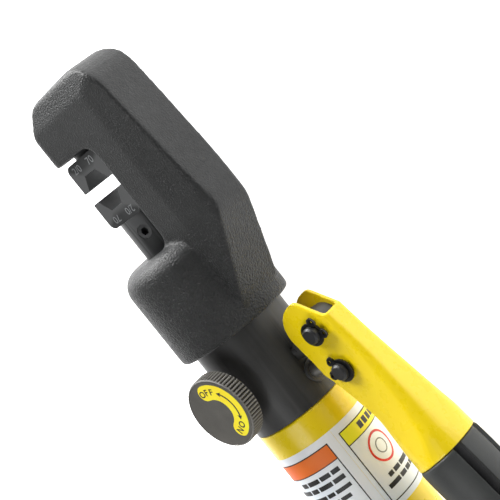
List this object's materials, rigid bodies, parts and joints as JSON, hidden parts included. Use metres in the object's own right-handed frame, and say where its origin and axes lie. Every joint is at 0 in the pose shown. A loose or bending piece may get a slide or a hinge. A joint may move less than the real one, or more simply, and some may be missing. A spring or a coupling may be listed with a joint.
{
  "type": "crimping tool",
  "caption": "Hand-operated hydraulic crimping tool with an open C-shaped head, a round ram and dies, a pump lever, a release knob and a reservoir barrel with a rubber grip.",
  "frame": {"origin": "centre of the crimp nest, midway between the dies at rest, on the ram's axis", "axes": "+X along the ram's axis from the pump towards the head, +Z along the cable's axis towards the release knob's side; the head's opening faces +Y and the lever is on the -Y side"},
  "size_m": [0.3401, 0.117, 0.0604],
  "materials": {
    "head_coat": "textured satin",
    "body_black": "satin",
    "yellow_paint": "gloss",
    "die_steel": "black oxide",
    "bright_steel": "ground",
    "pin_steel": "blued",
    "spring_steel": "drawn",
    "brass_fitting": "turned",
    "knob_plastic": "fine texture",
    "decal_yellow": "printed",
    "label_sheet": "printed",
    "grip_rubber": "satin",
    "seal_rubber": "smooth",
    "cap_plastic": "moulded"
  },
  "bodies": {
    "tool_body": {"pump_body": "body_black", "head_frame": "head_coat", "upper_die": "die_steel", "upper_die_screw": "pin_steel", "rod_wiper": "seal_rubber", "ram_spring": "spring_steel", "relief_screw": "brass_fitting", "relief_spring": "spring_steel", "relief_ball": "bright_steel", "outlet_ball": "bright_steel", "outlet_spring": "spring_steel", "inlet_ball": "bright_steel", "inlet_spring": "spring_steel", "suction_screen": "brass_fitting", "release_ball": "bright_steel", "pivot_lug": "pin_steel", "plunger_gland": "pin_steel", "plunger_seal": "seal_rubber", "barrel": "yellow_paint", "barrel_labels": "label_sheet", "oil_bladder": "seal_rubber", "bladder_clamp": "spring_steel", "fixed_grip": "grip_rubber", "end_cap": "cap_plastic", "cap_seal": "seal_rubber", "fill_plug": "brass_fitting"},
    "ram_body": {"ram": "die_steel", "lower_die": "die_steel", "ram_set_screw": "pin_steel", "piston_seal": "seal_rubber"},
    "lever": {"lever_channel": "yellow_paint", "lever_tube": "pin_steel", "lever_grip": "grip_rubber", "pivot_pin": "pin_steel", "drive_pin": "pin_steel", "pin_clips": "spring_steel"},
    "plunger_body": {"plunger": "bright_steel"},
    "release_valve": {"release_spindle": "bright_steel", "release_knob": "knob_plastic", "knob_decal": "decal_yellow", "spindle_o_ring": "seal_rubber"}
  },
  "joints": [
    {"name": "ram_slide", "type": "slide", "parent": "tool_body", "child": "ram_body", "axis": [1, 0, 0], "range_m": [-0.009, 0.005], "deforming": ["ram_spring"]},
    {"name": "lever_hinge", "type": "hinge", "parent": "tool_body", "child": "lever", "pos_m": [-0.0913, -0.041, 0], "axis": [0, 0, 1], "range_deg": [-4, 34]},
    {"name": "plunger_slide", "type": "slide", "parent": "tool_body", "child": "plunger_body", "axis": [0, -1, 0], "range_m": [-0.0013, 0.0103]},
    {"name": "release_turn", "type": "hinge", "parent": "tool_body", "child": "release_valve", "pos_m": [-0.0952, 0, 0.03], "axis": [0, 0, 1], "range_deg": [-90, 0]}
  ],
  "couplings": [
    {"joint": "plunger_slide", "follows": "lever_hinge", "m_per_rad": 0.017}
  ]
}
